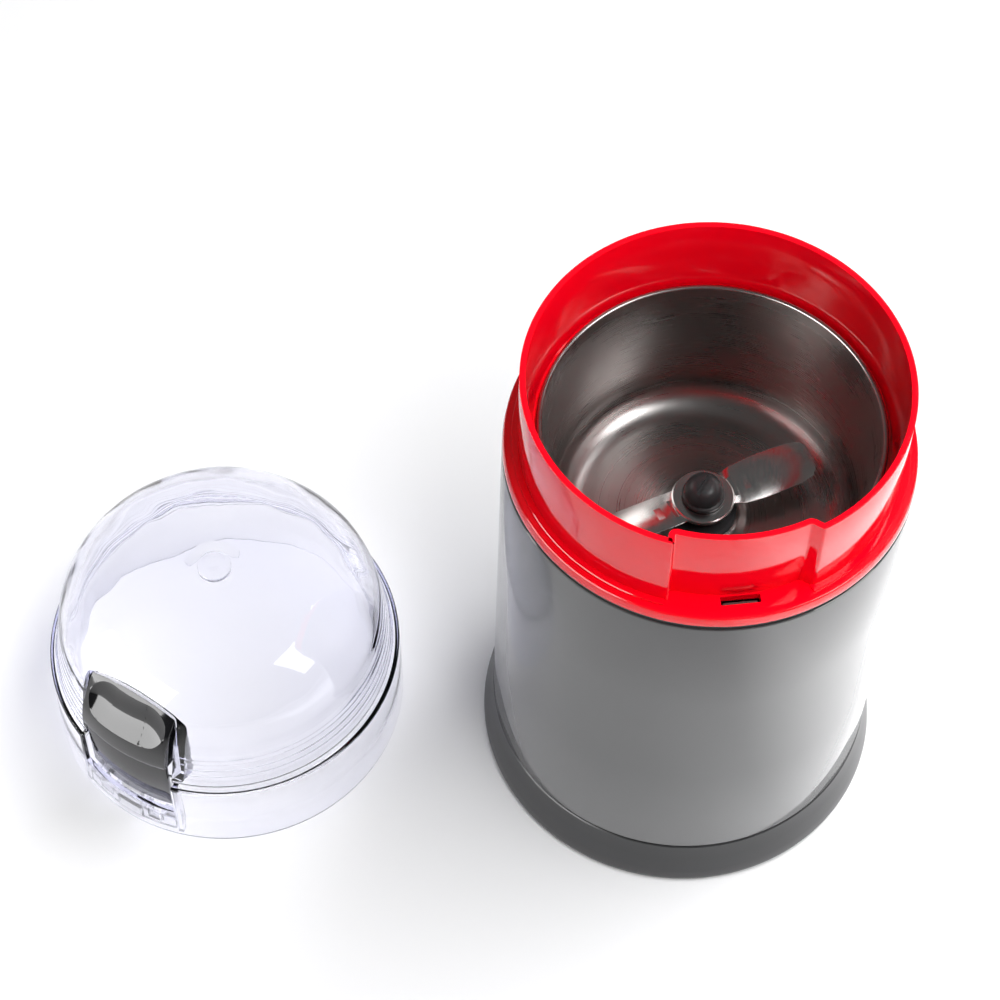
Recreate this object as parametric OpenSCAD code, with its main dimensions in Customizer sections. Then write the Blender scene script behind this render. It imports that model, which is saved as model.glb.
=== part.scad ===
/* [Body] */
// Outer radius of the base ring at its foot
base_r = 48; // [47.5:0.5:49]
// Outer radius of the shell at its lower edge
shell_low_r = 45.7; // [45.5:0.1:46]
// Outer radius of the shell at its upper edge
shell_top_r = 44.85; // [44.7:0.05:45]
// Thickness of the shell's wall
shell_t = 1.4; // [1.2:0.1:1.5]
// Height of the seam between the base ring and the shell
seam_z = 14.4; // [14:0.2:15]

/* [Collar] */
// Height of the ledge that the lid rests on
ledge_z = 121.1; // [120.9:0.1:121.3]
// Height of the collar's rim
rim_z = 143.5; // [143:0.1:143.6]
// Outer radius of the collar's wall
wall_r = 41.5; // [41.4:0.05:41.6]
// Half angle of the recess at the front, in degrees
recess_half = 21.5; // [20.5:0.5:22]
// Direction of the middle of the recess, in degrees from +X
recess_turn = -83; // [-90:1:-75]

/* [Bowl and blade] */
// Outer radius of the bowl's rolled rim
bowl_rim_r = 37.6; // [37.5:0.05:37.65]
// Height of the inside of the bowl's floor
bowl_floor_z = 91; // [90.8:0.1:91.2]
// Reach of the blade's wings
blade_r = 27; // [22:0.5:29]

/* [Lid and button] */
// Outer radius of the lid's skirt at its lower edge
lid_r = 43.3; // [43.2:0.05:43.5]
// Width of the lid button
button_w = 23.8; // [22:0.2:24]
// Travel of the lid button
button_travel = 4; // [3:0.2:4]
// Distance along X between the body's axis and the lid's axis
axis_gap = 111.8; // [98:0.2:140]
// Place of the lid's axis along Y
lid_y = 4; // [0:0.5:4.5]
// Direction that the lid button faces, in degrees from +X
button_turn = -121.5; // [-180:0.5:-60]

/* [Hidden] */
$fn = 72;

// Layout: the outline of the body and the lid together is centred on the origin
overall_w = base_r + axis_gap + lid_r;
body_x = overall_w / 2 - base_r;
lid_x = body_x - axis_gap;

// Colours
red = "crimson";
steel = "silver";
black = "#18181a";
copper = "#b5622e";
brass = "#c9a24a";
clear = [0.8, 0.84, 0.95, 0.45];

// Gaps
fit_gap = 0.05;
touch_gap = 0.02;
seam_gap = 0.2;
cut = 0.1;

// Base
foot_bottom = 0.6;
plate_z = 2.2;
plate_t = 2;
plate_r = 44.3;
flange_z = plate_z + plate_t + seam_gap;
flange_t = 2;
flange_in_r = 35;
lip_out_r = 43.9;
lip_in_r = 42.6;
lip_h = 5.6;
screw_ring_r = 38.8;
screw_r = 1.2;
screw_hole_r = 1.7;
screw_head_r = 2.9;
foot_ring_r = 36;
foot_r = 5;
foot_h = 3.2;
boss_r = 3.2;
boss_low_z = flange_z + flange_t + seam_gap;
boss_top_z = 30;
gland_z = 26;
gland_bore_r = 3.3;
gland_neck_r = 4.3;

// Collar
band_z = 118.4;
shell_top_z = 116.9;
skirt_z = 110;
ledge_t = 1.8;
wall_t = 1.4;
ring_edge_r = 42.9;
ring_h = 0.5;
recess_out_r = 39.05;
recess_in_r = 37.75;
rib_angle = 2.1;
seat_z = 124.8;
seat_t = 1.4;
seat_in_r = 36.95;
slot_turn = recess_turn + 0.5;
slot_x = 40.3;
slot_t = 1.9;
slot_half = 4.15;

// Bowl
bowl_t = 0.6;
bowl_top_z = 126;
bowl_top_r = 36.3;
bowl_low_r = 33.5;
bowl_round = 8;
bowl_hole_r = 6.9;

// Motor
shaft_r = 3;
spindle_r = 2;
spindle_z = 97.2;
stack_low = 44;
stack_top = 64;
rotor_r = 15;
air_gap = 0.5;
slots = 12;
bearing_r = 6.5;
bearing_h = 7;
upper_plate_z = 72.5;
lower_plate_z = 20.2;
lower_plate_t = 3.6;
motor_screw_y = 19.8;
motor_screw_r = 1.6;
brush_z = 30;
commutator_r = 8;
pillar_ring_r = 39.3;
pillar_r = 2.8;
pillar_low = 76.4;
pillar_turns = [60, 180, 300];

// Switch
plunger_travel = 2.4;
pivot_y = -8.6;
pivot_z = 98.6;
pivot_r = 0.6;
switch_top = 95.5;
switch_low = 84;

// Lid
skirt_h = 22.4;
skirt_in_r = 41.8;
shelf_z = 22.65;
shoulder_x = 17.3;
shoulder_z = 33.5;
shoulder_r = 22;
shoulder_low_angle = 10.5;
shoulder_top_angle = 76;
crown_r = 93.5;
crown_z = -35.87;
dome_t = 2.5;
pocket_half = 12.6;
pocket_back = 33.2;
pocket_floor = 24.4;
pocket_t = 1.5;
window_z = 11.4;
plate_low = 11.8;
plate_in_r = 39.9;
plate_out_r = 41.2;
cap_back = 33.7;
cap_low = 30.6;
dish_r = 7;
dish_turn = 8.2;
leg_in_r = 39.75;
leg_out_r = 40.85;
leg_half = 3;
clip_in_r = 39.3;
clip_out_r = 40.5;
spring_x = 36.95;
post_r = 1.1;

function arc(cx, cz, r, from, to, n) =
    [for (i = [0:n]) let (a = from + (to - from) * i / n) [cx + r * cos(a), cz + r * sin(a)]];
function shell_r(z) = shell_low_r + (shell_top_r - shell_low_r) * (z - seam_z) / (shell_top_z - seam_z);
function unit(v) = v / norm(v);

module on_body() translate([body_x, 0, 0]) children();
module on_lid() translate([lid_x, lid_y, 0]) rotate([0, 0, button_turn]) children();
module at_slot() rotate([0, 0, slot_turn]) children();
module around(count, r, start = 0)
    for (i = [0:count - 1]) rotate([0, 0, start + 360 * i / count]) translate([r, 0, 0]) children();
module ring(out_r, in_r, low, top)
    rotate_extrude() polygon([[in_r, low], [out_r, low], [out_r, top], [in_r, top]]);
module rod(r, low, top) translate([0, 0, low]) cylinder(r = r, h = top - low);
module block(x0, x1, y0, y1, z0, z1) translate([x0, y0, z0]) cube([x1 - x0, y1 - y0, z1 - z0]);
// A bar with round edges along X, made of straight blocks and four quarter rods
module soft_frame(x0, x1, half_y, z0, z1, r) {
    block(x0, x1, -half_y, half_y, z0 + r, z1 - r);
    block(x0, x1, r - half_y, half_y - r, z0, z1);
    for (y = [r - half_y, half_y - r], z = [z0 + r, z1 - r])
        translate([x0, y, z]) rotate([0, 90, 0]) cylinder(r = r, h = x1 - x0);
}
// A screw along +Z with a cross recess in its head, which is at the low end
module screw(head_r, head_low, head_top, r, tip) difference() {
    union() {
        rod(head_r, head_low, head_top);
        rod(r, head_top - cut, tip);
    }
    for (a = [0, 90]) rotate([0, 0, a])
        block(-head_r * 0.6, head_r * 0.6, -0.3, 0.3, head_low - cut, head_low + 0.6);
}
// A tube that follows a list of points, with a flat end at each side
module tube(path, r, sides, up) {
    last = len(path) - 1;
    rings = [for (i = [0:last])
        let (t = unit(path[min(i + 1, last)] - path[max(i - 1, 0)]),
             u = unit(cross(up, t)),
             v = cross(t, u))
        [for (k = [0:sides - 1]) path[i] + r * (cos(360 * k / sides) * u + sin(360 * k / sides) * v)]];
    points = [for (one = rings) each one];
    skin = [for (i = [0:last - 1], k = [0:sides - 1])
        let (m = (k + 1) % sides)
        [i * sides + k, (i + 1) * sides + k, (i + 1) * sides + m, i * sides + m]];
    low_cap = [[for (k = [0:sides - 1]) k]];
    high_cap = [[for (k = [sides - 1:-1:0]) last * sides + k]];
    polyhedron(points, concat(skin, low_cap, high_cap));
}
// A coil spring along +Z
module coil(r, wire_r, low, top, turns) {
    steps = 14;
    pitch = (top - low - 2 * wire_r) / turns;
    tube([for (i = [0:turns * steps]) let (a = 360 * i / steps)
        [r * cos(a), r * sin(a), low + wire_r + pitch * i / steps]], wire_r, 6, [0, 0, 1]);
}

// Base

module base_ring() color("#4a4a4e") on_body() difference() {
    rotate_extrude() polygon([[flange_in_r, flange_z], [flange_in_r, flange_z + flange_t],
        [lip_in_r, flange_z + flange_t], [lip_in_r, seam_z + lip_h], [lip_out_r, seam_z + lip_h],
        [lip_out_r, seam_z - seam_gap], [shell_low_r, seam_z - seam_gap],
        [shell_low_r + 0.3, seam_z - 0.4 - seam_gap],
        [base_r - 0.35, 5], [base_r, 2.4], [base_r - 0.1, 1.3], [base_r - 0.7, foot_bottom],
        [plate_r + 0.9, foot_bottom], [plate_r + 0.3, 1.2], [plate_r + 0.3, flange_z]]);
    around(4, screw_ring_r, 45) rod(screw_hole_r, 0, flange_z + flange_t + 1);
}

module base_plate() color("#2a2a2c") on_body() difference() {
    rod(plate_r, plate_z, plate_z + plate_t);
    around(4, screw_ring_r, 45) {
        rod(screw_hole_r, 0, plate_z + plate_t + cut);
        rod(screw_head_r + 0.3, 0, plate_z + 1.2);
    }
    around(4, foot_ring_r) rod(foot_r + seam_gap, 0, foot_h);
    for (i = [0:17]) rotate([0, 0, 20 * i])
        block(11, 27, -1.2, 1.2, 0, plate_z + plate_t + cut);
}

module rubber_feet() color("#111112") on_body() around(4, foot_ring_r)
    rotate_extrude() polygon([[0, 0], [foot_r - 0.5, 0], [foot_r, 0.5], [foot_r, foot_h], [0, foot_h]]);

module base_screws() color(steel) on_body() around(4, screw_ring_r, 45)
    screw(screw_head_r, plate_z + 0.1, plate_z + 1.2, screw_r, 22);

module outer_shell() color("#77777b") on_body() difference() {
    union() {
        rotate_extrude() polygon([
            [shell_low_r - shell_t, seam_z + seam_gap], [shell_low_r - 0.3, seam_z + seam_gap],
            [shell_low_r, seam_z + seam_gap + 0.3], [shell_top_r, shell_top_z - 0.3],
            [shell_top_r - 0.3, shell_top_z], [shell_top_r - shell_t, shell_top_z]]);
        around(4, screw_ring_r, 45) {
            rod(boss_r, boss_low_z, boss_top_z);
            block(2.2, 6.2, -1, 1, boss_top_z - 9, boss_top_z);
        }
    }
    around(4, screw_ring_r, 45) rod(screw_r + fit_gap, 0, boss_top_z - 4);
    translate([0, 40, gland_z]) rotate([-90, 0, 0]) cylinder(r = gland_neck_r + 0.15, h = 10);
}

module cord_gland() color(black) on_body() difference() {
    translate([0, 0, gland_z]) rotate([-90, 0, 0]) {
        translate([0, 0, 42.2]) cylinder(r = 5.4, h = 1.3);
        translate([0, 0, 42.2]) cylinder(r = gland_neck_r, h = 4.4);
        translate([0, 0, shell_low_r + fit_gap]) cylinder(r = 6, h = 1.2);
    }
    translate([0, 40, gland_z]) rotate([-90, 0, 0]) cylinder(r = gland_bore_r, h = 10);
}

// Collar and bowl

module collar_section() polygon(concat(
    [[shell_top_r, band_z], [shell_top_r, ledge_z - 0.7], [shell_top_r - 0.25, ledge_z - 0.2],
    [shell_top_r - 0.75, ledge_z], [ring_edge_r, ledge_z], [ring_edge_r, ledge_z + ring_h],
    [wall_r, ledge_z + ring_h]],
    arc(wall_r - 0.7, rim_z - 0.7, 0.7, 0, 180, 6),
    [[38.25, seat_z + 2.2], [38.25, seat_z], [seat_in_r, seat_z], [seat_in_r, seat_z - seat_t + 0.3],
    [39.5, seat_z - seat_t - 0.1], [40, seat_z - seat_t - 0.6], [40, ledge_z - ledge_t],
    [41.9, ledge_z - ledge_t], [41.9, skirt_z],
    [43.3, skirt_z], [43.3, band_z]]));

module sector(half, from_r, low, tip_r, top) rotate([0, 0, recess_turn - half])
    rotate_extrude(angle = 2 * half) polygon([[from_r, low], [tip_r, low], [tip_r, top], [from_r, top]]);

module side_rib(start) rotate([0, 0, recess_turn + start]) rotate_extrude(angle = rib_angle)
    polygon([[recess_in_r + 0.4, seat_z - 0.9], [wall_r - 0.3, seat_z - 0.9],
        [wall_r - 0.3, rim_z - 0.15], [recess_in_r + 0.4, rim_z - 0.15]]);

module plunger_guide_cut() {
    block(slot_x - slot_t / 2, slot_x + slot_t / 2, -slot_half, slot_half, 115, ledge_z + 1);
    block(slot_x - slot_t / 2, slot_x + slot_t / 2, -5.3, 5.3, 110.2, 115.9);
    translate([slot_x, 0, 0]) rod(2.2, 104.7, 115);
    translate([slot_x, 0, 0]) rod(1.4, 100, 105);
    for (y = [-4.9, 4.9]) translate([slot_x, y, 0]) rod(0.9 + fit_gap, 100, 108.6);
}

module collar() color(red) on_body() difference() {
    union() {
        difference() {
            rotate([0, 0, 90]) rotate_extrude() collar_section();
            sector(recess_half, recess_in_r - 2, seat_z, wall_r + 2, rim_z + 1);
            sector(recess_half, recess_out_r, ledge_z, wall_r + 2, seat_z + 1);
        }
        rotate([0, 0, recess_turn - recess_half - rib_angle / 2])
            rotate_extrude(angle = 2 * recess_half + rib_angle) polygon(concat(
                [[recess_in_r, ledge_z - 1.7], [40.2, ledge_z - 1.7], [40.2, ledge_z],
                [recess_out_r, ledge_z]],
                arc((recess_in_r + recess_out_r) / 2, rim_z - 0.65, 0.65, 0, 180, 6)));
        side_rib(recess_half - 0.3);
        side_rib(0.3 - recess_half - rib_angle);
        at_slot() block(36.8, 42.9, -6.4, 6.4, 103.2, ledge_z - 1);
        for (turn = pillar_turns) rotate([0, 0, slot_turn + turn])
            translate([pillar_ring_r, 0, 0]) rod(pillar_r, pillar_low, ledge_z - 1);
    }
    at_slot() plunger_guide_cut();
    for (turn = pillar_turns) rotate([0, 0, slot_turn + turn])
        translate([pillar_ring_r, 0, 0]) rod(screw_r + fit_gap, pillar_low - 1, 92);
}

module collar_gasket() color(black) on_body()
    ring(shell_top_r - 0.5, 43.35, shell_top_z + touch_gap, band_z - touch_gap);

module grinding_bowl() color(steel) on_body() rotate_extrude() polygon(concat(
    [[bowl_hole_r, bowl_floor_z + 1.6], [8.4, bowl_floor_z + 1.6], [10, bowl_floor_z]],
    arc(bowl_low_r - bowl_round, bowl_floor_z + bowl_round, bowl_round, -90, 0, 6),
    arc(bowl_rim_r - 0.65, bowl_top_z, 0.65, 180, 0, 8),
    [[bowl_rim_r, bowl_top_z - 0.5], [bowl_top_r + bowl_t, bowl_top_z - 0.5]],
    arc(bowl_low_r - bowl_round, bowl_floor_z + bowl_round, bowl_round + bowl_t, 0, -90, 6),
    [[9.8, bowl_floor_z - bowl_t], [8.2, bowl_floor_z + 1], [bowl_hole_r, bowl_floor_z + 1]]));

module bowl_seal() color("#303033") on_body()
    ring(recess_in_r - fit_gap, seat_in_r + fit_gap, seat_z, 125.45);

module shaft_seal() color(black) on_body() rotate_extrude() polygon([
    [shaft_r + 0.35, 90.8], [7.6, 90.8], [7.6, bowl_floor_z + 0.9], [6.8, bowl_floor_z + 0.9],
    [6.8, bowl_floor_z + 1.7], [7.9, bowl_floor_z + 1.7], [7.4, 93.5], [shaft_r + 0.35, 93.5]]);

// Motor, the pieces that stand still

module stator_core() color("#8b8d90") on_body() difference() {
    intersection() {
        rod(29, stack_low, stack_top);
        block(-29, 29, -24, 24, stack_low - 1, stack_top + 1);
    }
    rod(rotor_r + air_gap, stack_low - 1, stack_top + 1);
    for (x = [-23, 17], y = [-16.6, 9]) block(x, x + 6, y, y + 7.6, stack_low - 1, stack_top + 1);
    for (y = [-motor_screw_y, motor_screw_y])
        translate([0, y, 0]) rod(motor_screw_r + 0.1, stack_low - 1, stack_top + 1);
}

module field_coils() color(copper) on_body() for (side = [0, 180]) rotate([0, 0, side]) difference() {
    soft_frame(17.5, 22.5, 16, stack_low - 6.4, stack_top + 6.4, 3);
    soft_frame(17, 23, 9.4, stack_low - 0.4, stack_top + 0.4, 0.4);
}

module upper_bracket() color("#b9bcc0") on_body() difference() {
    union() {
        rod(25, upper_plate_z, upper_plate_z + 2);
        rod(bearing_r + 1.8, upper_plate_z, upper_plate_z + 9.5);
        for (turn = pillar_turns) rotate([0, 0, slot_turn + turn]) {
            block(20, pillar_ring_r, -4.2, 4.2, upper_plate_z, upper_plate_z + 2);
            translate([pillar_ring_r, 0, 0]) rod(4.2, upper_plate_z, upper_plate_z + 2);
        }
    }
    rod(shaft_r + 1, upper_plate_z - 1, upper_plate_z + 10);
    rod(bearing_r + touch_gap, upper_plate_z + 2.3, upper_plate_z + 10);
    for (turn = pillar_turns) rotate([0, 0, slot_turn + turn])
        translate([pillar_ring_r, 0, 0]) rod(3.05, upper_plate_z - 1, upper_plate_z + 3);
    for (y = [-motor_screw_y, motor_screw_y])
        translate([0, y, 0]) rod(motor_screw_r + 0.1, upper_plate_z - 1, upper_plate_z + 3);
    around(6, 15.5, 0) rod(3.6, upper_plate_z - 1, upper_plate_z + 3);
}

module lower_bracket() color("#34363a") on_body() difference() {
    union() {
        block(-26, 26, -8, 8, lower_plate_z, lower_plate_z + lower_plate_t);
        block(-9, 9, -38, 38, lower_plate_z, lower_plate_z + lower_plate_t);
        for (side = [0, 180]) rotate([0, 0, side]) {
            block(11.5, 23, -3.5, 3.5, lower_plate_z + 3, brush_z - 3.6);
            translate([0, motor_screw_y, 0]) rod(3.4, lower_plate_z + 3, stack_low - touch_gap);
        }
        rod(bearing_r + 2.2, lower_plate_z - 0.8, lower_plate_z + 4.4);
    }
    rod(bearing_r + touch_gap, lower_plate_z - 2, lower_plate_z + 6);
    for (y = [-motor_screw_y, motor_screw_y])
        translate([0, y, 0]) rod(motor_screw_r + 0.1, lower_plate_z - 1, stack_low + 1);
}

module upper_bearing() color(brass) on_body()
    ring(bearing_r, shaft_r + fit_gap, upper_plate_z + 2.4, upper_plate_z + 2.4 + bearing_h);

module lower_bearing() color(brass) on_body()
    ring(bearing_r, shaft_r + fit_gap, lower_plate_z - 0.6, lower_plate_z + 4.2);

module motor_screws() color(steel) on_body() for (y = [-motor_screw_y, motor_screw_y])
    translate([0, y, 0]) {
        rod(motor_screw_r, lower_plate_z + 0.2, upper_plate_z + 2.1);
        translate([0, 0, upper_plate_z + 2 + touch_gap]) cylinder(r = 3.1, h = 2, $fn = 6);
    }

module motor_bushes() color(black) on_body()
    for (turn = pillar_turns) rotate([0, 0, slot_turn + turn]) translate([pillar_ring_r, 0, 0])
        rotate_extrude() polygon([[1.6, 70.7], [4, 70.7], [4, upper_plate_z - touch_gap],
        [2.95, upper_plate_z - touch_gap], [2.95, upper_plate_z + 2 + touch_gap],
        [4, upper_plate_z + 2 + touch_gap], [4, pillar_low - touch_gap], [1.6, pillar_low - touch_gap]]);

module mount_screws() color(steel) on_body()
    for (turn = pillar_turns) rotate([0, 0, slot_turn + turn]) translate([pillar_ring_r, 0, 0])
        screw(2.6, 69, 70.6, screw_r, 90);

module brush_holders() color(brass) on_body() for (side = [0, 180]) rotate([0, 0, side]) difference() {
    block(9.8, 24, -3.5, 3.5, brush_z - 3.5, brush_z + 3.5);
    block(9, 23.4, -2.65, 2.65, brush_z - 2.65, brush_z + 2.65);
}

module carbon_brushes() color("#2b2b2b") on_body() for (side = [0, 180]) rotate([0, 0, side]) difference() {
    block(7, 17.8, -2.5, 2.5, brush_z - 2.5, brush_z + 2.5);
    rod(commutator_r + 0.35, brush_z - 4, brush_z + 4);
}

module brush_springs() color(steel) on_body() for (side = [0, 180]) rotate([0, 0, side])
    translate([0, 0, brush_z]) rotate([0, 90, 0]) coil(1.8, 0.25, 17.85, 23.35, 5);

// Switch

module microswitch() color("#1c1c1e") on_body() at_slot() difference() {
    union() {
        block(36.9, 41.9, -10, 8, switch_low, switch_top);
        for (x = [37.9, 41.2]) block(x, x + 0.7, -10, -7.2, switch_top - 0.5, pivot_z + 1.2);
        translate([38, pivot_y, pivot_z]) rotate([0, 90, 0]) cylinder(r = pivot_r, h = 3.8);
    }
    block(38.5, 41.3, -5.3, -3.3, switch_top - 5, switch_top + 1);
}

module switch_button() color("#c8352c") on_body() at_slot()
    block(38.9, 40.9, -4.9, -3.7, switch_top - 3.2, pivot_z);

module switch_lever() color(steel) on_body() at_slot() difference() {
    union() {
        translate([38.9, pivot_y, pivot_z]) rotate([0, 90, 0]) cylinder(r = 1.25, h = 2);
        block(38.9, 40.9, pivot_y, 2, pivot_z + 0.3, pivot_z + 0.8);
    }
    translate([38, pivot_y, pivot_z]) rotate([0, 90, 0]) cylinder(r = pivot_r + fit_gap, h = 4);
}

module switch_bracket() color("#a9abb0") on_body() at_slot() difference() {
    union() {
        block(42, 42.6, -7, 7, switch_low - 0.7, 103.1);
        block(37.4, 42.3, -6.2, 6.2, 102.5, 103.1);
        block(37.4, 42.3, -7, 7, switch_low - 0.7, switch_low - 0.1);
    }
    translate([slot_x, 0, 0]) rod(1.7, 102, 104);
    for (y = [-4.9, 4.9]) translate([slot_x, y, 0]) rod(1, 102, 104);
}

module switch_screws() color(steel) on_body() at_slot() for (y = [-4.9, 4.9])
    translate([slot_x, y, 0]) screw(1.6, 101.4, 102.4, 0.9, 108.4);

module interlock_plunger() color("#1a1412") on_body() at_slot() {
    block(slot_x - 0.6, slot_x + 0.6, -slot_half + 0.4, slot_half - 0.4, 112.8, ledge_z - 1.2);
    block(slot_x - 0.6, slot_x + 0.6, -4.9, 4.9, 112.8, 115.6);
    translate([slot_x, 0.6, ledge_z - 1.3]) sphere(r = 0.4);
    translate([slot_x, 0, 0]) rod(1.1, pivot_z + 2.2, 113);
    translate([slot_x, 0, pivot_z + 2.2]) sphere(r = 1.1);
}

module plunger_spring() color(steel) on_body() at_slot()
    translate([slot_x, 0, 0]) coil(1.68, 0.22, 104.75, 112.7, 7);

module terminal_block() color("#e6e3d6") on_body() difference() {
    block(-8, 8, 27, 37, lower_plate_z + lower_plate_t + touch_gap, 33);
    for (x = [-4.4, 0, 4.4]) translate([x, 20, 28.5]) rotate([-90, 0, 0]) cylinder(r = 1.4, h = 20);
    for (x = [-4.4, 0, 4.4]) translate([x, 32, 0]) rod(1.3, 29.5, 34);
}

module capacitor() color("#c9a227") on_body()
    block(-7.5, 7.5, -36, -28, lower_plate_z + lower_plate_t + touch_gap, 36);

// Routes of the leads: the first climbs round the motor from the terminal block to the switch
switch_route = [[-4.4, 26.9, 28.5], [-4.6, 24.8, 28.8], [-9, 24.6, 32], [-22, 29, 38], [-33, 20, 42],
    [-38, 6, 45], [-38, -8, 48], [-32, -22, 52], [-22, -32, 57], [-8, -37, 64], [2, -38.4, 72],
    [4.8, -38.6, 78], [4.9, -38.6, 81], [4.9, -38.6, 83]];
brush_route = [[4.4, 26.9, 28.5], [4.6, 24.8, 28.8], [11, 24.6, 31.5], [22, 22, 34], [29, 13, 34],
    [29.5, 5, 31.5], [26.8, 0.2, 30], [24.1, 0, 30]];
filter_route = [[-5, -27.7, 32], [-5.1, -25.8, 32.2], [-12, -25.2, 34], [-22, -21, 35], [-29, -12, 34],
    [-29.5, -5, 31.5], [-26.8, -0.2, 30], [-24.1, 0, 30]];
function spline(p, i, t) =
    let (a = p[max(i - 1, 0)], b = p[i], c = p[i + 1], d = p[min(i + 2, len(p) - 1)])
    0.5 * (2 * b + (c - a) * t + (2 * a - 5 * b + 4 * c - d) * t * t + (3 * b - a - 3 * c + d) * t * t * t);
function smooth(p, n) =
    concat([for (i = [0:len(p) - 2], k = [0:n - 1]) spline(p, i, k / n)], [p[len(p) - 1]]);

module lead_wires() color("#2f55a4") on_body() {
    tube(smooth(switch_route, 4), 0.9, 8, [1, 0.4, 0.1]);
    tube(smooth(brush_route, 4), 0.9, 8, [0, 0, 1]);
    tube(smooth(filter_route, 4), 0.9, 8, [0, 0, 1]);
}

// Armature, shaft and blade

module motor_shaft() color(steel) on_body() {
    rod(shaft_r, 9, spindle_z - touch_gap);
    rod(spindle_r, spindle_z - 1, 103);
}

module rotor_core() color("#8b8d90") on_body() difference() {
    rod(rotor_r, stack_low, stack_top);
    rod(shaft_r + touch_gap, stack_low - 1, stack_top + 1);
    for (i = [0:slots - 1]) rotate([0, 0, 360 * i / slots]) {
        block(8.5, 13.8, -1.3, 1.3, stack_low - 1, stack_top + 1);
        block(13, rotor_r + 1, -0.6, 0.6, stack_low - 1, stack_top + 1);
    }
}

module rotor_windings() color(copper) on_body() {
    for (i = [0:slots - 1]) rotate([0, 0, 360 * i / slots])
        block(8.7, 13.6, -1.15, 1.15, stack_low - 1, stack_top + 1);
    for (z = [stack_low - 3.9, stack_top + 3.3]) rotate_extrude()
        polygon([[4.4, z - 1.6], [7, z - 3], [11.5, z - 3], [13.6, z - 1.2], [13.9, z + 1.2],
            [12.6, z + 3], [6, z + 3], [4.4, z + 1.6]]);
}

module commutator() color(copper) on_body() difference() {
    union() {
        rod(commutator_r, 25.6, 35);
        rod(9.2, 34.6, 36.6);
    }
    rod(shaft_r + touch_gap, 25, 38);
    for (i = [0:slots - 1]) rotate([0, 0, 360 * i / slots])
        block(commutator_r - 0.8, 10, -0.25, 0.25, 25, 37);
}

module cooling_fan() color("#3d5f8f") on_body() difference() {
    union() {
        rod(5.5, 10, 18);
        rod(23, 16.8, 18);
        for (i = [0:8]) rotate([0, 0, 40 * i]) block(5, 22.5, -0.6, 0.6, 10.6, 17);
    }
    rod(shaft_r + touch_gap, 9, 19);
}

module blade_spacer() color("#2b2b2d") on_body() ring(5.4, shaft_r + touch_gap, 94.2, spindle_z - touch_gap);

module blade() color(steel) on_body() difference() {
    union() {
        rod(7, spindle_z, spindle_z + 1.3);
        for (side = [0, 180]) rotate([0, 0, 25 + side]) translate([0, 0, spindle_z + 0.65])
            rotate([14, 0, 0]) translate([0, 0, -0.65]) linear_extrude(height = 1.3)
                polygon(concat([[5.6, -4.4], [blade_r - 6, -5.6]], arc(blade_r - 5.6, 0, 5.6, -70, 50, 8),
                    [[7, 4.8], [5.6, 4.4]]));
    }
    rod(spindle_r + touch_gap, spindle_z - 2, spindle_z + 3);
}

module blade_nut() color("#2b2b2d") on_body() difference() {
    rotate_extrude() polygon(concat([[0, spindle_z + 1.4]], arc(0, 99.2, 4.8, -7, 90, 8)));
    rod(spindle_r + touch_gap, spindle_z, 103.2);
}

// Lid

lid_outer = concat([[lid_r - 0.4, 0], [lid_r, 0.5], [lid_r - 0.5, skirt_h], [lid_r - 0.8, skirt_h + 0.7],
    [lid_r - 2, skirt_h + 1]],
    arc(shoulder_x, shoulder_z, shoulder_r, shoulder_low_angle, shoulder_top_angle, 9),
    arc(0, crown_z, crown_r, shoulder_top_angle + 3, 90, 4));
lid_inner = concat(arc(0, crown_z, crown_r - dome_t, 90, shoulder_top_angle + 3, 4),
    arc(shoulder_x, shoulder_z, shoulder_r - dome_t, shoulder_top_angle, shoulder_low_angle, 9),
    [[39, shelf_z], [skirt_in_r - 0.75, shelf_z], [skirt_in_r - 0.05, shelf_z - 0.75],
    [skirt_in_r, 0.6], [skirt_in_r + 0.3, 0]]);
lid_hidden_r = 36;

module lid_solid() rotate_extrude() polygon(concat([[0, 0]], lid_outer));
// The curved space between two radii at the button, as wide as half_y each way
module front_band(in_r, out_r, half_y, low, top) difference() {
    intersection() {
        block(lid_hidden_r - 6, out_r + 1, -half_y, half_y, low, top);
        rod(out_r, low - 1, top + 1);
    }
    rod(in_r, low - 1, top + 1);
}

module lid_cover() color(clear) on_lid() difference() {
    union() {
        rotate_extrude() polygon(concat(lid_outer, lid_inner));
        intersection() {
            lid_solid();
            block(pocket_back - pocket_t, lid_r, -pocket_half - pocket_t, pocket_half + pocket_t,
                pocket_floor - pocket_t, 60);
        }
        for (side = [0, 1]) mirror([0, side, 0]) difference() {
            intersection() {
                block(36, 43, pocket_half, pocket_half + 1.3, 0.6, pocket_floor);
                rod(skirt_in_r + 0.4, 0, 30);
            }
            rod(39.5, 0, 30);
        }
        rod(4, 57, 58.1);
        translate([spring_x, 0, 0]) rod(post_r, pocket_floor - 1, 28);
    }
    difference() {
        block(pocket_back, 50, -pocket_half, pocket_half, pocket_floor, 70);
        translate([spring_x, 0, 0]) rod(post_r, pocket_floor - 1, 28);
    }
    front_band(39.4, 46, pocket_half, window_z, pocket_floor + 1);
}

module button_guide() color(clear) on_lid() difference() {
    front_band(39.5, skirt_in_r - 0.2, pocket_half - 0.3, 1.6, 7.5);
    front_band(36, leg_out_r + 0.3, leg_half + 0.4, 0, 10);
    for (side = [0, 1]) mirror([0, side, 0])
        block(36, 40.6, 5.4, 8.4, 3.2, 10);
}

// The cap's line follows the lid's shoulder and ends in a crest above a small lip
cap_line = [[30, cap_low], [41.2, cap_low], [41.8, 31.1], [42, 32.2], [41.6, 35.4], [41, 38],
    [40.3, 39.3], [39, 41.6], [37.2, 44.4], [35.4, 46.7], [33, 49], [30, 51]];
dish_mid = [41.97, 46.15];

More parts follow.
